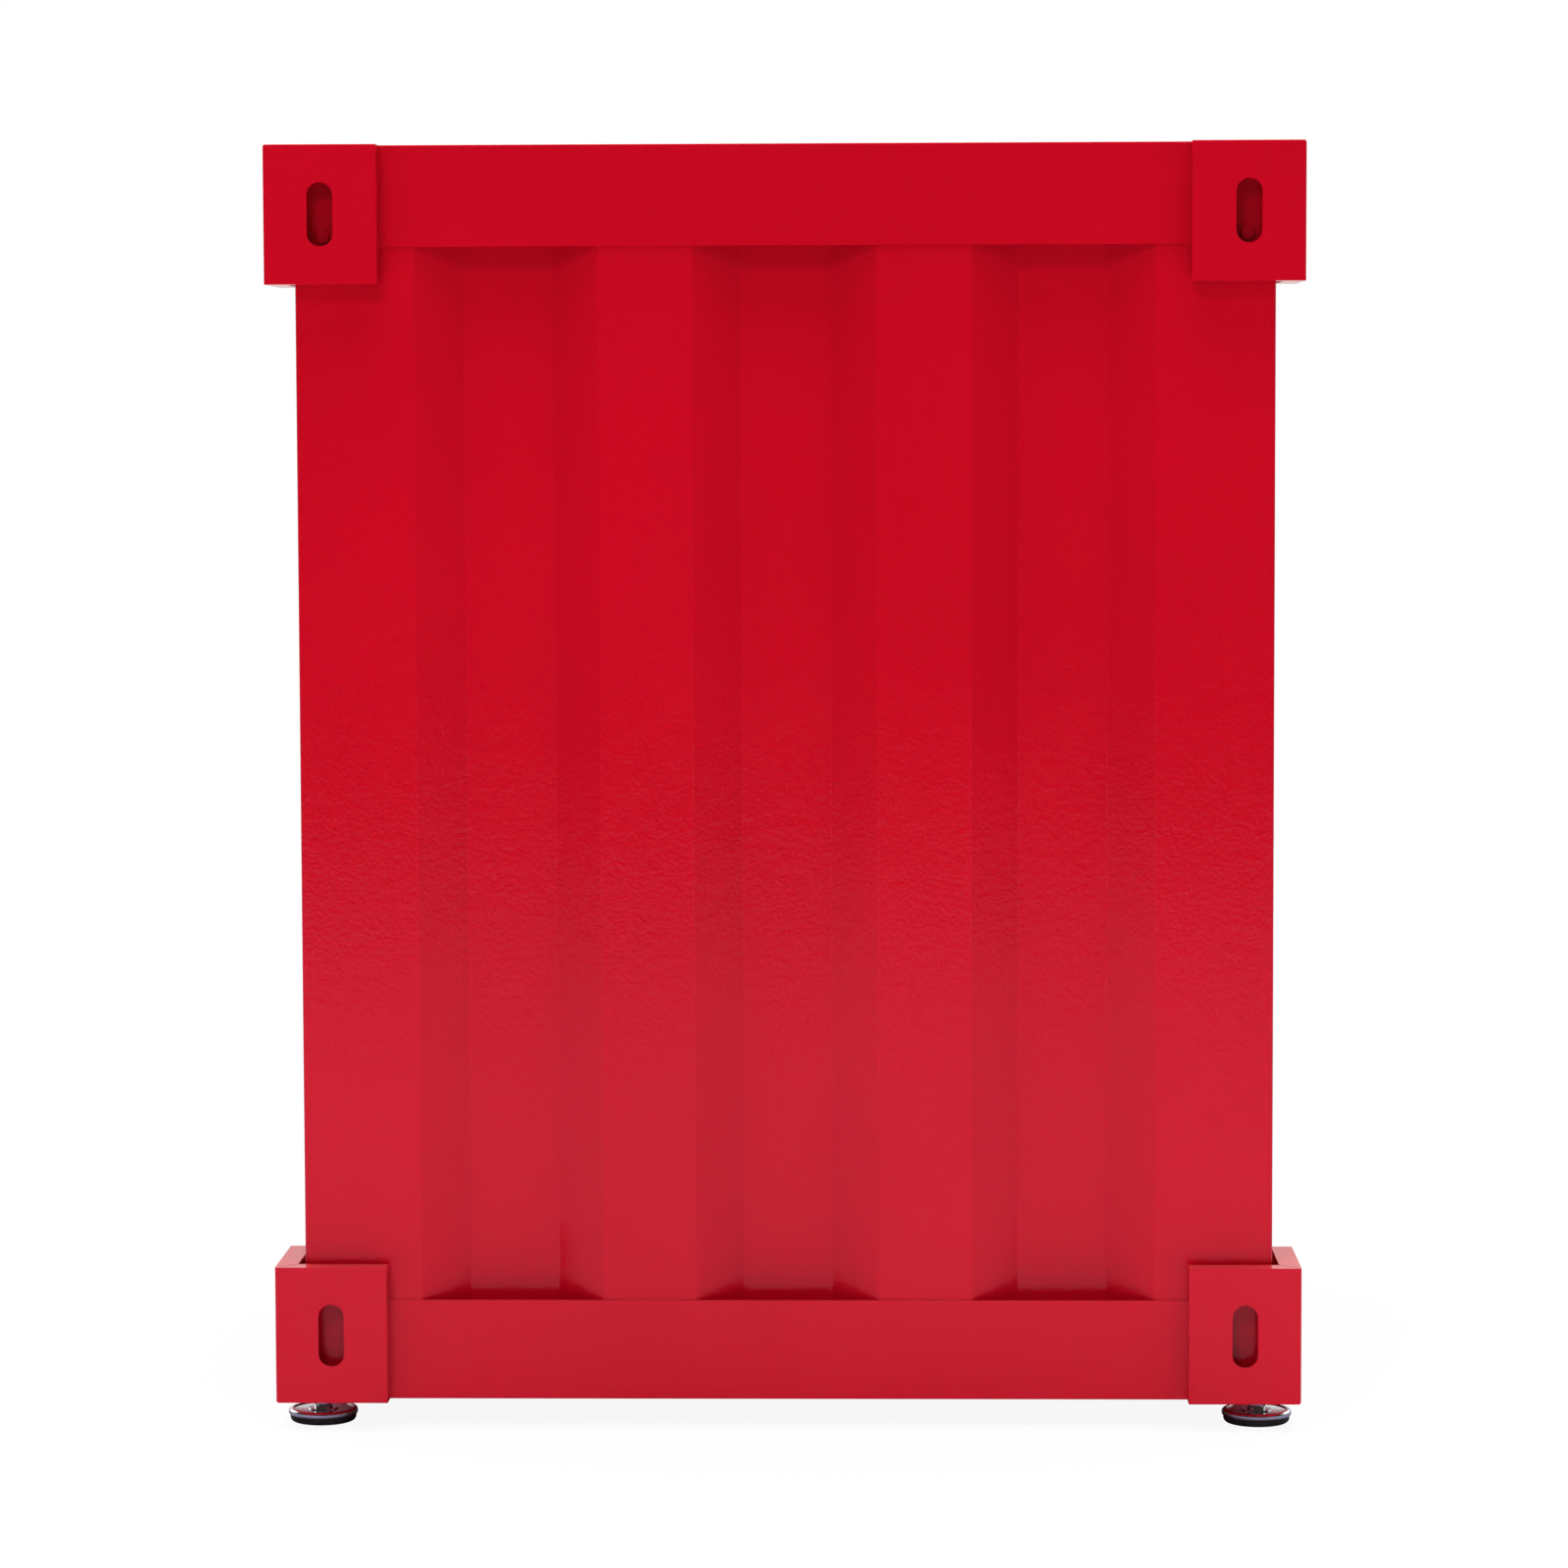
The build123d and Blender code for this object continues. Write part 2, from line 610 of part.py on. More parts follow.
stop_at = radians(tail_angle - 90 - door_angle) + acos((tail_width / 2 + stop_radius + seat) / stop_reach)
stop_y = hinge_y + stop_reach * cos(stop_at)
stop_z = hinge_z + stop_reach * sin(stop_at)
with BuildPart() as stop_pins:
    for side in (-1, 1):
        rod(stop_radius, (side * (opening_half - 5), stop_y, stop_z), (side * jamb_back, stop_y, stop_z))
        rod(stop_radius + 2, (side * jamb_back, stop_y, stop_z), (side * (jamb_back + 1.5), stop_y, stop_z))
keep(stop_pins, "stop_pins")

with BuildPart() as post:
    add(left_post.part)
    rod(hinge_radius, (-jamb_back, hinge_y, hinge_z), (-opening_half, hinge_y, hinge_z), mode=Mode.SUBTRACT)
    rod(stop_radius, (-jamb_back, stop_y, stop_z), (-opening_half, stop_y, stop_z), mode=Mode.SUBTRACT)
keep(post, "front_post_left")
keep(mirrored(post, mirror_x), "front_post_right")

with BuildPart() as bumpers:
    for side in (-1, 1):
        bumper_x = (side * opening_half, side * (door_half - 6))
        bumper_y = (door_back - seat - 7, door_back - seat)
        block(bumper_x, bumper_y, (door_top - 40, door_top - 28))
    fillet(bumpers.edges().group_by(Axis.Y)[-1], 1.0)
keep(bumpers, "door_bumpers")

with BuildPart() as door_spring:
    with BuildLine() as coil:
        Helix(spring_pitch, spring_length, spring_mean, direction=(1, 0, 0), lefthand=True)
    with BuildSketch(Plane(coil.line @ 0, z_dir=coil.line % 0)):
        Circle(spring_wire / 2)
    sweep(path=coil.wires()[0], is_frenet=True)
    rod(spring_wire / 2, (0, 0, spring_mean), (0, -spring_leg, spring_mean))
    shelf_leg = platform_front_gap + 3
    rod(spring_wire / 2, (spring_length, spring_mean, 0), (spring_length, spring_mean, -shelf_leg))
with BuildPart() as door_springs:
    with Locations(Location((spring_start, hinge_y, hinge_z), (-90, 0, 0))):
        add(door_spring.part)
    mirror(about=mirror_x)
keep(door_springs, "door_springs")

# ---------------------------------------------------------------- coin fascia and what is fixed to it
fascia_z = (door_top + coin_gap, roof_bottom)
fascia_back = wall_front - wall_sheet
flange_top = fascia_z[0] + wall_sheet
opening_width = drawer_width - 2 * drawer_lap
opening_height = drawer_height - 2 * drawer_lap
cup_z = (flange_top + 8, flange_top + 8 + cup_tall)
cup_middle = sum(cup_z) / 2
cup_outer = (cup_width, cup_tall)
cup_back = fascia_back - cup_deep
flap_y = wall_front - seat - 0.75
flap_z = cup_z[1] - seat - mech_sheet - pivot_radius - 1.6
head_radius = 7.0
slot_room = (coin_slot + 2, coin_slot_length + 2)
plate_x = (coin_x + button_x) / 2
plate_size = (coin_x - button_x + 32.0, 50.0)
plate_corner = (plate_size[0] / 2 - 6, plate_size[1] / 2 - 6)
plate_screw_x = (plate_x - plate_corner[0], plate_x + plate_corner[0])
plate_screw_z = (slot_z - plate_corner[1], slot_z + plate_corner[1])
plate_screws_at = [(x, z) for x in plate_screw_x for z in plate_screw_z]

with BuildPart() as fascia:
    block((-opening_half, opening_half), (wall_front - fascia_flange, wall_front), fascia_z)
    inner_x = (-opening_half + wall_sheet, opening_half - wall_sheet)
    inner_y = (wall_front - fascia_flange, fascia_back)
    block(inner_x, inner_y, (flange_top, fascia_z[1]), mode=Mode.SUBTRACT)
    through = (fascia_back, wall_front)
    panel(drawer_x, through, drawer_z, (opening_width, opening_height), 0.5, mode=Mode.SUBTRACT)
    panel(coin_x, through, cup_middle, cup_outer, 4, mode=Mode.SUBTRACT)
    panel(coin_x, through, slot_z, slot_room, 1.5, mode=Mode.SUBTRACT)
    button_hole = ((button_x, fascia_back, slot_z), (button_x, wall_front, slot_z))
    rod(head_radius + seat, *button_hole, mode=Mode.SUBTRACT)
    for x, z in plate_screws_at:
        rod(1.55, (x, fascia_back, z), (x, wall_front, z), mode=Mode.SUBTRACT)
keep(fascia, "coin_fascia")

plate_front = wall_front + 3.0
with BuildPart() as coin_plate:
    panel(plate_x, (wall_front, plate_front), slot_z, plate_size, 4)
    fillet(coin_plate.edges().group_by(Axis.Y)[-1], 1.0)
    panel(coin_x, (wall_front, plate_front), slot_z, (coin_slot, coin_slot_length), 1.5, mode=Mode.SUBTRACT)
    outer = coin_plate.edges().group_by(Axis.Y)[-1]
    chamfer(outer.filter_by(lambda e: abs(e.center().X - coin_x) < 3), 0.8)
    for x, z in plate_screws_at:
        rod(1.55, (x, wall_front, z), (x, plate_front, z), mode=Mode.SUBTRACT)
    button_hole = ((button_x, wall_front, slot_z), (button_x, plate_front, slot_z))
    rod(head_radius + seat, *button_hole, mode=Mode.SUBTRACT)
keep(coin_plate, "coin_slot_plate")

with BuildPart() as plate_screws:
    for x, z in plate_screws_at:
        rod(1.5, (x, fascia_back - 2, z), (x, plate_front, z))
        rod(2.8, (x, plate_front, z), (x, plate_front + 1.6, z))
    fillet(plate_screws.edges().filter_by(GeomType.CIRCLE).group_by(Axis.Y)[-1], 0.8)
    for x, z in plate_screws_at:
        rod(0.9, (x, plate_front + 0.8, z), (x, plate_front + 1.6, z), mode=Mode.SUBTRACT)
keep(plate_screws, "coin_plate_screws")

mech_x = (button_x - 18, coin_x + 36)
mech_y = (fascia_back - mech_depth, fascia_back)
mech_z = (cup_z[1], roof_bottom - 42)
guide_y = (mech_y[1] - 19, mech_y[1] - 19 + mech_sheet)
chute_hole_z = (mech_z[1] - 20, mech_z[1] - 4)
chute_y = (guide_y[0] - 34, guide_y[0] - 8)
stem_radius = 2.5
with BuildPart() as mechanism:
    block(mech_x, mech_y, mech_z)
    inner_x = (mech_x[0] + mech_sheet, mech_x[1] - mech_sheet)
    inner_y = (mech_y[0] + mech_sheet, mech_y[1] - mech_sheet)
    inner_z = (mech_z[0] + mech_sheet, mech_z[1] - mech_sheet)
    block(inner_x, inner_y, inner_z, mode=Mode.SUBTRACT)
    block((inner_x[0], button_x + 10), guide_y, (slot_z - 12, slot_z + 12))
    front = (inner_y[1], mech_y[1])
    panel(coin_x, front, slot_z, slot_room, 1.5, mode=Mode.SUBTRACT)
    button_hole = ((button_x, front[0], slot_z), (button_x, front[1], slot_z))
    rod(head_radius + seat, *button_hole, mode=Mode.SUBTRACT)
    guide_hole = ((button_x, guide_y[0], slot_z), (button_x, guide_y[1], slot_z))
    rod(stem_radius + running, *guide_hole, mode=Mode.SUBTRACT)
    for x, z in plate_screws_at:
        rod(1.8, (x, front[0], z), (x, front[1], z), mode=Mode.SUBTRACT)
    block((mech_x[0], inner_x[0]), chute_y, chute_hole_z, mode=Mode.SUBTRACT)
    drop_y = (cup_back + 6, cup_back + 22)
    block((coin_x - 20, coin_x + 20), drop_y, (mech_z[0], inner_z[0]), mode=Mode.SUBTRACT)
keep(mechanism, "coin_mechanism")

with BuildPart() as return_cup:
    cup_y = (cup_back, wall_front)
    panel(coin_x, (wall_front, wall_front + 2), cup_middle, (cup_width + 12, cup_tall + 10), 6)
    fillet(return_cup.edges().group_by(Axis.Y)[-1], 0.8)
    panel(coin_x, cup_y, cup_middle, (cup_width - 2 * seat, cup_tall - 2 * seat), 4 - seat)
    inside = (cup_width - 2 * seat - 2 * mech_sheet, cup_tall - 2 * seat - 2 * mech_sheet)
    panel(coin_x, (cup_back + mech_sheet, wall_front + 2), cup_middle, inside, 0.5, mode=Mode.SUBTRACT)
    lip_z = cup_middle - inside[1] / 2
    block((coin_x - inside[0] / 2, coin_x + inside[0] / 2), (wall_front, wall_front + 2), (lip_z, lip_z + 5))
    block((coin_x - 20, coin_x + 20), drop_y, (cup_middle, cup_z[1]), mode=Mode.SUBTRACT)
    pivots = ((coin_x - cup_width / 2, flap_y, flap_z), (coin_x + cup_width / 2, flap_y, flap_z))
    rod(pivot_radius + running, *pivots, mode=Mode.SUBTRACT)
keep(return_cup, "coin_return_cup")

with BuildPart() as flap:
    flap_x = (coin_x - inside[0] / 2 + seat, coin_x + inside[0] / 2 - seat)
    rod(pivot_radius + 1.2, (flap_x[0], flap_y, flap_z), (flap_x[1], flap_y, flap_z))
    block(flap_x, (flap_y - 0.75, flap_y + 0.75), (lip_z + 3, flap_z))
    rod(pivot_radius, (flap_x[0] - mech_sheet, flap_y, flap_z), (flap_x[1] + mech_sheet, flap_y, flap_z))
keep(flap, "coin_return_flap")

# ---------------------------------------------------------------- coin return button
head_front = wall_front + 7.0
head_back = fascia_back - 5.0
clip_y = (guide_y[0] - seat - 1.5, guide_y[0] - seat)
with BuildPart() as button:
    rod(head_radius, (button_x, head_back, slot_z), (button_x, head_front, slot_z))
    fillet(button.edges().group_by(Axis.Y)[-1], 1.0)
    rod(stem_radius, (button_x, clip_y[0], slot_z), (button_x, head_back, slot_z))
    rod(stem_radius + 1.5, (button_x, clip_y[0], slot_z), (button_x, clip_y[1], slot_z))
keep(button, "coin_return_button")

with BuildPart() as button_spring:
    spring_run = head_back - guide_y[1] - 1.0
    spring_foot = (button_x, guide_y[1] + 0.5, slot_z)
    with BuildLine() as coil:
        Helix(spring_run / 5, spring_run, stem_radius + 1.6, center=spring_foot, direction=(0, 1, 0))
    with BuildSketch(Plane(coil.line @ 0, z_dir=coil.line % 0)):
        Circle(0.4)
    sweep(path=coil.wires()[0], is_frenet=True)
keep(button_spring, "button_spring")

# ---------------------------------------------------------------- cash drawer, its guide and its lock
hole_x = (drawer_x - opening_width / 2, drawer_x + opening_width / 2)
hole_z = (drawer_z - opening_height / 2, drawer_z + opening_height / 2)
lock_x = hole_x[1] - lock_radius - 2
box_x = (hole_x[0] + seat, lock_x - 16)
box_z = (hole_z[0] + seat, hole_z[1] - 20)
plate_y = (wall_front + seat, wall_front + seat + drawer_plate)
lock_back = fascia_back - 16.0
cam_y = (lock_back - cam_sheet, lock_back)
guide_top = box_z[1] + 6
with BuildPart() as drawer:
    panel(drawer_x, plate_y, drawer_z, (drawer_width, drawer_height), 4)
    fillet(drawer.edges().group_by(Axis.Y)[-1], 0.8)
    block(box_x, (plate_y[0] - drawer_depth, plate_y[0]), box_z)
    inner_x = (box_x[0] + mech_sheet, box_x[1] - mech_sheet)
    inner_y = (plate_y[0] - drawer_depth + mech_sheet, plate_y[0])
    block(inner_x, inner_y, (box_z[0] + mech_sheet, box_z[1]), mode=Mode.SUBTRACT)
    lock_hole = ((lock_x, plate_y[0], drawer_z), (lock_x, plate_y[1], drawer_z))
    rod(lock_radius + running, *lock_hole, mode=Mode.SUBTRACT)
keep(drawer, "cash_drawer")

with BuildPart() as guide:
    outer_x = (hole_x[0] - mech_sheet, hole_x[1] + mech_sheet)
    outer_y = (plate_y[0] - drawer_depth - 8 - mech_sheet, fascia_back)
    block(outer_x, outer_y, (hole_z[0] - mech_sheet, guide_top))
    block(hole_x, (outer_y[0] + mech_sheet, fascia_back), (hole_z[0], guide_top), mode=Mode.SUBTRACT)
    cam_slot_y = (cam_y[0] - 2, cam_y[1] + 2)
    cam_slot_z = (drawer_z - cam_length - 4, drawer_z + 9)
    block((hole_x[1], outer_x[1]), cam_slot_y, cam_slot_z, mode=Mode.SUBTRACT)
keep(guide, "drawer_guide")

with BuildPart() as lock_body:
    rod(lock_radius, (lock_x, lock_back + seat, drawer_z), (lock_x, plate_y[1], drawer_z))
    rod(lock_radius + 2.5, (lock_x, plate_y[1], drawer_z), (lock_x, plate_y[1] + 2.5, drawer_z))
    fillet(lock_body.edges().filter_by(GeomType.CIRCLE).group_by(Axis.Y)[-1], 1.2)
    lock_run = ((lock_x, lock_back + seat, drawer_z), (lock_x, plate_y[1] + 2.5, drawer_z))
    rod(plug_radius + running, *lock_run, mode=Mode.SUBTRACT)
keep(lock_body, "lock_body")

with BuildPart() as lock_plug:
    rod(plug_radius, (lock_x, cam_y[1], drawer_z), (lock_x, plate_y[1] + 2.2, drawer_z))
    keyway_y = (plate_y[1] - 4, plate_y[1] + 3)
    block((lock_x - 0.8, lock_x + 0.8), keyway_y, (drawer_z - 3.5, drawer_z + 3.5), mode=Mode.SUBTRACT)
    block((lock_x - 6, lock_x + 6), cam_y, (drawer_z - cam_length, drawer_z + 6))
    fillet(lock_plug.edges().filter_by(Axis.Y).group_by(Axis.Z)[0], 3)
    rod(4.5, (lock_x, cam_y[0] - 3, drawer_z), (lock_x, cam_y[0], drawer_z))
keep(lock_plug, "lock_plug_and_cam")

chute_run = (box_x[1] - 24, mech_x[0])
chute_fall = (guide_top + 0.5, chute_hole_z[0])
with BuildPart() as chute:
    slope = [(chute_run[0], chute_fall[0]), (chute_run[1], chute_fall[1])]
    with BuildSketch(Plane((0, chute_y[1], 0), x_dir=(1, 0, 0), z_dir=(0, -1, 0))):
        Polygon(*slope, (slope[1][0], slope[1][1] + 12), (slope[0][0], slope[0][1] + 12), align=None)
    extrude(amount=chute_y[1] - chute_y[0])
    with BuildSketch(Plane((0, chute_y[1] - wall_sheet, 0), x_dir=(1, 0, 0), z_dir=(0, -1, 0))):
        raised = [(x, z + wall_sheet) for x, z in slope]
        Polygon(*raised, (raised[1][0], raised[1][1] + 12), (raised[0][0], raised[0][1] + 12), align=None)
    extrude(amount=chute_y[1] - chute_y[0] - 2 * wall_sheet, mode=Mode.SUBTRACT)
keep(chute, "coin_chute")

# ---------------------------------------------------------------- door latch
latch_z = flange_top + latch_rise
cheek_in = hook_half + seat
cheek_out = cheek_in + 1.5
latch_pin = 2.0
with BuildPart() as latch_bracket:
    block((-14, 14), (wall_front - fascia_flange, fascia_back), (flange_top, flange_top + 1.5))
    for side in (-1, 1):
        block((side * cheek_in, side * cheek_out), (latch_y - 8, fascia_back), (flange_top, latch_z + 8))
    rod(latch_pin, (-cheek_out - 1, latch_y, latch_z), (cheek_out + 1, latch_y, latch_z))
keep(latch_bracket, "latch_bracket")

tooth_front = tooth_back + 7.2
tooth_drop = latch_z - (strike_top + 1)
lift = radians(latch_lift)
with BuildPart() as hook:
    hook_plane = Plane((-hook_half, latch_y, latch_z), x_dir=(0, cos(lift), sin(lift)), z_dir=(1, 0, 0))
    with BuildSketch(hook_plane):
        Circle(6.5)
        with Locations((0, -9)):
            Rectangle(tooth_front, 8, align=(Align.MIN, Align.MIN))
        with Locations((tooth_back, -tooth_drop)):
            Rectangle(tooth_front - tooth_back, tooth_drop - 2, align=(Align.MIN, Align.MIN))
        Circle(latch_pin + running, mode=Mode.SUBTRACT)
    extrude(amount=2 * hook_half)
keep(hook, "latch_hook")
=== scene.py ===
"""Look of the container-style newspaper vending box: paint, metals, light and camera."""

import json
import math

import bmesh
import bpy
from mathutils import Matrix, Vector


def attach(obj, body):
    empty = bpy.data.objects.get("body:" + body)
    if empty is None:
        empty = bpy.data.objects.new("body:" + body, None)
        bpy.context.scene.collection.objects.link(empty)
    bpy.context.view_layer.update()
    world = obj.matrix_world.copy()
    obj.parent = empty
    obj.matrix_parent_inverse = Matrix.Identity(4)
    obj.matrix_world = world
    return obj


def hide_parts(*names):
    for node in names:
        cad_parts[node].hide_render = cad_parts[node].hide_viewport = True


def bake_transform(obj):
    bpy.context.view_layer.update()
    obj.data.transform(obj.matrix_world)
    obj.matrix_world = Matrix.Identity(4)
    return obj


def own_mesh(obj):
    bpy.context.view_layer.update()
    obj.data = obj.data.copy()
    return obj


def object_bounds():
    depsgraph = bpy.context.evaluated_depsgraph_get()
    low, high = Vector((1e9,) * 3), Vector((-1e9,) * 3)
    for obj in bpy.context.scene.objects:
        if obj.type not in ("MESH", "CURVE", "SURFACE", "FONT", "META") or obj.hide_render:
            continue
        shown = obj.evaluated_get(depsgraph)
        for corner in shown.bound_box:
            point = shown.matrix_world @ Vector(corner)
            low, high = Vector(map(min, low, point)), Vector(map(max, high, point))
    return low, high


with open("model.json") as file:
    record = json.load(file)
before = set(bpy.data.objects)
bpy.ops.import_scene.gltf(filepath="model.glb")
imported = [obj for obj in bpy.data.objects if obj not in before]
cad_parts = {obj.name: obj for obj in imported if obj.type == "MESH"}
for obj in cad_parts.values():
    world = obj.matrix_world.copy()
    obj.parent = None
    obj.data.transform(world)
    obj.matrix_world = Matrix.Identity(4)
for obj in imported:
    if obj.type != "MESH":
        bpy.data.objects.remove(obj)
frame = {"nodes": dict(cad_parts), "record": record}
cad_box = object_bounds()
nodes = frame["nodes"]
scene = bpy.context.scene
scene.view_settings.view_transform = "Standard"

BACK = cad_box[0].y  # plane of the photographed corner castings
FOOT = 0.012  # floor to the underside of the castings
MILLI = 0.001


# ------------------------------------------------------------------ node helpers
class Shader:
    """A node tree with short calls for the few node types used here."""

    def __init__(self, name, world=False):
        if world:
            self.owner = bpy.data.worlds.new(name)
        else:
            self.owner = bpy.data.materials.new(name)
        self.owner.use_nodes = True
        self.tree = self.owner.node_tree
        self.tree.nodes.clear()
        kind = "ShaderNodeOutputWorld" if world else "ShaderNodeOutputMaterial"
        self.out = self.tree.nodes.new(kind)
        self.place = None

    def add(self, kind, inputs=None, **settings):
        node = self.tree.nodes.new("ShaderNode" + kind)
        for key, value in settings.items():
            setattr(node, key, value)
        for key, value in (inputs or {}).items():
            socket = node.inputs[key]
            if isinstance(value, bpy.types.NodeSocket):
                self.tree.links.new(value, socket)
            else:
                socket.default_value = value
        return node

    def where(self):
        if self.place is None:
            self.place = self.add("TexCoord").outputs["Object"]
        return self.place

    def noise(self, scale, detail=2.0, rough=0.5, vector=None):
        inputs = {
            "Vector": vector or self.where(),
            "Scale": scale,
            "Detail": detail,
            "Roughness": rough,
        }
        return self.add("TexNoise", inputs).outputs["Fac"]

    def remap(self, value, start, end, low_value, high_value):
        inputs = {0: value, 1: start, 2: end, 3: low_value, 4: high_value}
        return self.add("MapRange", inputs).outputs[0]

    def math(self, operation, a, b=0.0):
        return self.add("Math", {0: a, 1: b}, operation=operation).outputs[0]

    def mix(self, factor, a, b):
        node = self.add("Mix", {"Factor": factor}, data_type="RGBA")
        for socket, value in ((node.inputs[6], a), (node.inputs[7], b)):
            if isinstance(value, bpy.types.NodeSocket):
                self.tree.links.new(value, socket)
            else:
                socket.default_value = value
        return node.outputs[2]

    def bump(self, height, distance, strength=1.0, normal=None):
        inputs = {"Height": height, "Distance": distance, "Strength": strength}
        if normal is not None:
            inputs["Normal"] = normal
        return self.add("Bump", inputs).outputs[0]

    def finish(self, inputs):
        shader = self.add("BsdfPrincipled", inputs)
        self.tree.links.new(shader.outputs[0], self.out.inputs[0])
        return self.owner


def rgb(r, g, b):
    return (r, g, b, 1.0)


def upward(s, start, end):
    """How far a surface faces up, from 0 to 1."""
    normal = s.add("NewGeometry").outputs["Normal"]
    z = s.add("SeparateXYZ", {0: normal}).outputs[2]
    return s.remap(z, start, end, 0.0, 1.0)


# ------------------------------------------------------------------ materials
def powder_coat(name, base, deep, dust_and_sheen_amount=0.10):
    """Semi-gloss powder coat: orange peel, a few nibs, faint shade drift, dust and a painted sheen that
    lighten what faces up.
    """
    s = Shader(name)
    drift = s.noise(5.0, 3.0)
    colour = s.mix(s.remap(drift, 0.3, 0.7, 0.0, 1.0), rgb(*deep), rgb(*base))
    cells = s.add("TexVoronoi", {"Vector": s.where(), "Scale": 75.0})
    chance = s.add("SeparateColor", {0: cells.outputs["Color"]}).outputs[0]
    nibs = s.remap(cells.outputs["Distance"], 0.018, 0.034, 1.0, 0.0)
    nibs = s.math("MULTIPLY", nibs, s.math("GREATER_THAN", chance, 0.955))
    colour = s.mix(s.math("MULTIPLY", nibs, 0.30), colour, rgb(0.72, 0.06, 0.08))
    # dust and painted sheen: faces that point up are mixed toward pale grey and made rougher, a painted
    # lightening of the tops
    patches = s.remap(s.noise(35.0, 5.0, 0.7), 0.3, 0.8, 0.8, 1.0)
    dust_and_sheen = s.math("MULTIPLY", upward(s, 0.80, 0.98), patches)
    dust_and_sheen = s.math("MULTIPLY", dust_and_sheen, dust_and_sheen_amount)
    colour = s.mix(dust_and_sheen, colour, rgb(0.55, 0.50, 0.48))
    peel = s.bump(s.noise(560.0, 2.0, 0.55), 0.0003, 0.30)
    peel = s.bump(s.noise(150.0, 1.0, 0.5), 0.0010, 0.08, peel)
    rough = s.remap(s.noise(22.0, 4.0, 0.6), 0.3, 0.7, 0.105, 0.135)
    rough = s.math("ADD", rough, s.math("MULTIPLY", dust_and_sheen, 1.5))
    return s.finish(
        {"Base Color": colour, "Roughness": rough, "Normal": peel, "Specular IOR Level": 0.42}
    )


def sheet_steel(name, base, dark, streak, rough_low, rough_high, spangle=0.0):
    """Bare or plated sheet: drawn streaks along one axis, or the flat crystals of galvanising."""
    s = Shader(name)
    stretched = s.add("Mapping", {0: s.where(), 3: streak}).outputs[0]
    grain = s.noise(420.0, 4.0, 0.65, vector=stretched)
    tone = s.remap(grain, 0.3, 0.7, 0.0, 1.0)
    rough = s.remap(grain, 0.3, 0.7, rough_low, rough_high)
    if spangle:
        cells = s.add("TexVoronoi", {"Vector": s.where(), "Scale": spangle}).outputs["Color"]
        flake = s.add("SeparateColor", {0: cells}).outputs[0]
        tone = s.math("MULTIPLY", s.math("ADD", tone, s.math("MULTIPLY", flake, 2.0)), 0.34)
        rough = s.math("ADD", rough, s.math("MULTIPLY", flake, 0.14))
    colour = s.mix(tone, rgb(*dark), rgb(*base))
    normal = s.bump(grain, 0.0001, 0.25)
    return s.finish({"Base Color": colour, "Metallic": 1.0, "Roughness": rough, "Normal": normal})


def turned_metal(name, base, dark, rough_low, rough_high):
    """Plated turned steel with faint tool rings and handling marks."""
    s = Shader(name)
    marks = s.noise(900.0, 3.0, 0.6)
    smear = s.noise(70.0, 4.0, 0.65)
    colour = s.mix(s.remap(smear, 0.35, 0.75, 0.0, 1.0), rgb(*base), rgb(*dark))
    rough = s.remap(smear, 0.3, 0.7, rough_low, rough_high)
    normal = s.bump(marks, 0.00005, 0.3)
    return s.finish({"Base Color": colour, "Metallic": 1.0, "Roughness": rough, "Normal": normal})


def rubber(name):
    s = Shader(name)
    bloom = s.noise(45.0, 5.0, 0.7)
    pale = s.remap(bloom, 0.4, 0.75, 0.0, 1.0)
    colour = s.mix(pale, rgb(0.010, 0.010, 0.011), rgb(0.045, 0.044, 0.043))
    normal = s.bump(s.noise(1400.0, 2.0), 0.0002, 0.4)
    rough = s.remap(bloom, 0.3, 0.7, 0.55, 0.78)
    return s.finish(
        {"Base Color": colour, "Roughness": rough, "Normal": normal, "Specular IOR Level": 0.35}
    )


def satin_black(name):
    s = Shader(name)
    worn = s.noise(30.0, 5.0, 0.7)
    rubbed = s.remap(worn, 0.5, 0.8, 0.0, 1.0)
    colour = s.mix(rubbed, rgb(0.018, 0.018, 0.020), rgb(0.060, 0.060, 0.062))
    normal = s.bump(s.noise(700.0, 2.0), 0.0003, 0.3)
    rough = s.remap(worn, 0.3, 0.7, 0.38, 0.52)
    return s.finish({"Base Color": colour, "Roughness": rough, "Normal": normal})


def clear_sheet(name):
    """Clear polycarbonate with hairline wipe marks."""
    s = Shader(name)
    wipes = s.add("Mapping", {0: s.where(), 3: (1.0, 1.0, 9.0)}).outputs[0]
    haze = s.noise(60.0, 5.0, 0.7, vector=wipes)
    rough = s.remap(haze, 0.4, 0.8, 0.02, 0.10)
    normal = s.bump(s.noise(9.0, 1.0), 0.0006, 0.15)
    clouded = s.remap(haze, 0.3, 0.8, 0.0, 1.0)
    colour = s.mix(clouded, rgb(0.95, 0.975, 0.97), rgb(0.86, 0.89, 0.89))
    surface = {"Base Color": colour, "Roughness": rough, "Normal": normal}
    surface.update({"Transmission Weight": 1.0, "IOR": 1.58})
    return s.finish(surface)


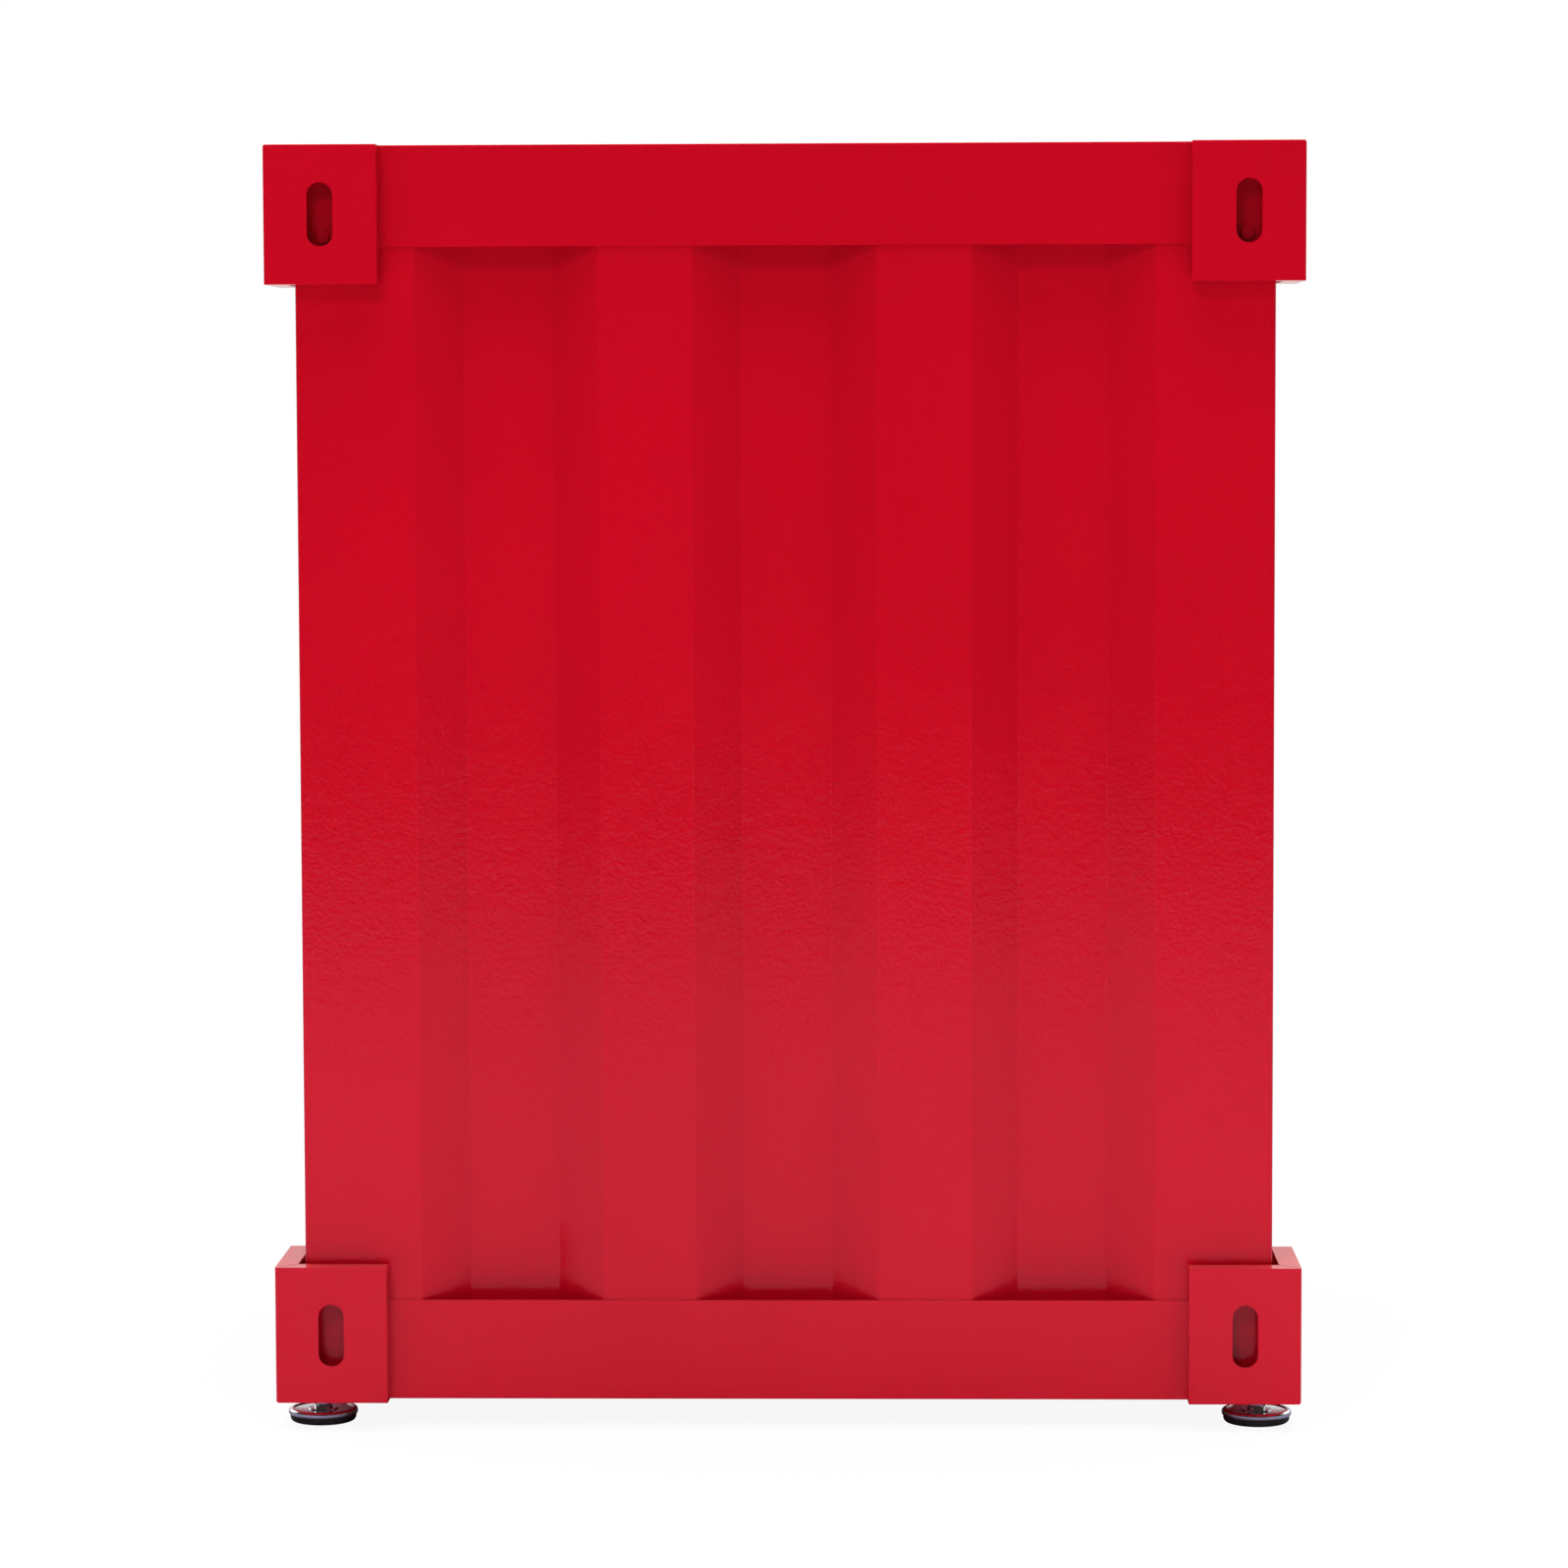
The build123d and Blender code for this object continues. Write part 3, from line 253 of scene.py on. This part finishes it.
finishes = {
    "powder_coat_red": powder_coat("powder_coat_red", (0.66, 0.0022, 0.0165), (0.60, 0.0018, 0.0140)),
    "black_rubber": rubber("black_rubber"),
    "bright_zinc": turned_metal("bright_zinc", (0.82, 0.82, 0.83), (0.68, 0.68, 0.70), 0.07, 0.15),
    "galvanised_sheet": sheet_steel(
        "galvanised_sheet", (0.62, 0.64, 0.65), (0.38, 0.40, 0.42), (1.0, 1.0, 1.0), 0.30, 0.42, spangle=85.0
    ),
    "black_sheet": satin_black("black_sheet"),
    "stainless": sheet_steel(
        "stainless", (0.68, 0.67, 0.66), (0.50, 0.50, 0.50), (0.04, 1.0, 1.0), 0.20, 0.36
    ),
    "zinc_small": turned_metal("zinc_small", (0.64, 0.65, 0.67), (0.46, 0.47, 0.50), 0.24, 0.42),
    "spring_steel": turned_metal("spring_steel", (0.34, 0.34, 0.35), (0.20, 0.20, 0.21), 0.24, 0.38),
    "clear_pane": clear_sheet("clear_pane"),
    "chrome_lock": turned_metal("chrome_lock", (0.80, 0.80, 0.81), (0.66, 0.66, 0.68), 0.06, 0.16),
    "brass_plug": turned_metal("brass_plug", (0.78, 0.58, 0.26), (0.56, 0.40, 0.17), 0.18, 0.32),
}

for entry in frame["record"]["subparts"]:
    mesh = nodes[entry["node"]].data
    mesh.materials.clear()
    mesh.materials.append(finishes[entry["material_slot"]])


# ------------------------------------------------------------------ springs cut from the CAD springs
def spring_piece(name, node, side=0):
    """A piece with a CAD spring's own shape; side keeps the left (-1) or right (1) one of a pair."""
    mesh = nodes[node].data.copy()
    mesh.name = name
    if side:
        shape = bmesh.new()
        shape.from_mesh(mesh)
        spare = [vertex for vertex in shape.verts if vertex.co.x * side < 0]
        bmesh.ops.delete(shape, geom=spare, context="VERTS")
        shape.to_mesh(mesh)
        shape.free()
    piece = bpy.data.objects.new(name, mesh)
    scene.collection.objects.link(piece)
    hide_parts(node)
    return piece


for side, name in ((-1, "door_spring_left"), (1, "door_spring_right")):
    spring = spring_piece(name, "door_springs", side)
    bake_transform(spring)

coil = spring_piece("button_coil", "button_spring")
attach(coil, "cabinet")
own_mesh(coil)

# ------------------------------------------------------------------ stage
TABLE_HALF = 2.3  # half the width of the lit floor
TABLE_FRONT = 2.35  # how far it reaches before the photographed castings
TABLE_BEHIND = 2.6
GLOW_SHARE = 0.92  # share of the floor's brightness that is its own, seen straight


def floor_material():
    """Pale glowing floor, as of a lit table; what mirrors it sees it dimmer."""
    s = Shader("floor")
    tone = s.remap(s.noise(3.0, 3.0), 0.3, 0.7, 0.97, 1.0)
    pale = s.add("CombineColor", {0: tone, 1: tone, 2: tone}).outputs[0]
    seen = s.add("BsdfDiffuse", {0: pale}).outputs[0]
    mirrored = s.add("BsdfDiffuse", {0: rgb(0.25, 0.26, 0.37)}).outputs[0]
    glossy = s.add("LightPath").outputs["Is Glossy Ray"]
    shaded = s.add("MixShader", {0: glossy, 1: seen, 2: mirrored}).outputs[0]
    glow = s.add("Emission", {0: rgb(1.0, 1.0, 1.0), 1: 1.0}).outputs[0]
    lit = s.math("MULTIPLY", s.add("LightPath").outputs["Is Camera Ray"], GLOW_SHARE)
    node = s.add("MixShader", {0: lit, 1: shaded, 2: glow})
    s.tree.links.new(node.outputs[0], s.out.inputs[0])
    return s.owner


def flat_patch(name, x, y, z, material):
    mesh = bpy.data.meshes.new(name)
    corners = [(x[0], y[0], z), (x[1], y[0], z), (x[1], y[1], z), (x[0], y[1], z)]
    mesh.from_pydata(corners, [], [(0, 1, 2, 3)])
    mesh.materials.append(material)
    patch = bpy.data.objects.new(name, mesh)
    scene.collection.objects.link(patch)
    return patch


floor_x = (-TABLE_HALF, TABLE_HALF)
floor_y = (BACK - TABLE_FRONT, TABLE_BEHIND)
floor = flat_patch("floor", floor_x, floor_y, 0.0, floor_material())

world = Shader("surround", world=True)
rays = world.add("LightPath").outputs
along = world.add("SeparateXYZ", {0: world.add("TexCoord").outputs["Generated"]}).outputs[1]
backdrop = world.remap(along, 0.05, 0.45, 0.03, 0.85)
mirrored = world.math("MULTIPLY", rays["Is Glossy Ray"], backdrop)
unseen = world.math("MAXIMUM", mirrored, 0.03)
strength = world.math("MAXIMUM", rays["Is Camera Ray"], unseen)
background = world.add("Background", {0: rgb(1.0, 1.0, 1.0), 1: strength})
world.tree.links.new(background.outputs[0], world.out.inputs[0])
scene.world = world.owner


def softbox(name, place, target, size, power, glossy=True):
    """A rectangular area light aimed at a point."""
    light = bpy.data.lights.new(name, "AREA")
    light.shape = "RECTANGLE"
    light.size, light.size_y = size
    light.energy = power
    lamp = bpy.data.objects.new(name, light)
    lamp.location = place
    away = Vector(place) - Vector(target)
    lamp.rotation_euler = away.to_track_quat("Z", "Y").to_euler()
    lamp.visible_glossy = glossy
    scene.collection.objects.link(lamp)


middle = (0.0, 0.0, 0.30)
softbox("key", (-0.6, BACK - 2.0, 1.75), middle, (0.6, 0.5), 12.5, glossy=False)
softbox("fill", (1.7, BACK - 1.9, 1.2), middle, (1.6, 1.4), 4.0, glossy=False)
softbox("far_left", (-2.2, 1.6, 1.5), middle, (1.4, 1.8), 20.0)
softbox("far_right", (1.9, 2.1, 1.7), middle, (1.6, 1.4), 22.0)
softbox("top", (0.0, 0.1, 2.6), middle, (2.4, 2.0), 6.0)

sun = bpy.data.lights.new("floor_wash", "SUN")
sun.energy = 3.4
sun.angle = math.radians(70)
wash = bpy.data.objects.new("floor_wash", sun)
wash.visible_glossy = False
scene.collection.objects.link(wash)

# ------------------------------------------------------------------ camera
SENSOR = 36.0
FOCAL = 5000.0 / 1600.0 * SENSOR
PLACE = (52.2, -2075.9, 423.8)  # from the lower edge of the photographed castings, in millimetres
PITCH, YAW, ROLL = 0.0754, -0.0254, -0.0034

camera_data = bpy.data.cameras.new("camera")
camera_data.lens = FOCAL
camera_data.sensor_width = SENSOR
camera_data.clip_end = 60.0
camera = bpy.data.objects.new("camera", camera_data)
forward = Vector((math.sin(YAW) * math.cos(PITCH), math.cos(YAW) * math.cos(PITCH), -math.sin(PITCH)))
level = Vector((math.cos(YAW), -math.sin(YAW), 0.0))
above = level.cross(forward)
right = math.cos(ROLL) * level + math.sin(ROLL) * above
up = -math.sin(ROLL) * level + math.cos(ROLL) * above
rotation = Matrix((right, up, -forward)).transposed().to_4x4()
place = Vector(PLACE) * MILLI + Vector((0.0, BACK, FOOT))
camera.matrix_world = Matrix.Translation(place) @ rotation
scene.collection.objects.link(camera)
scene.camera = camera
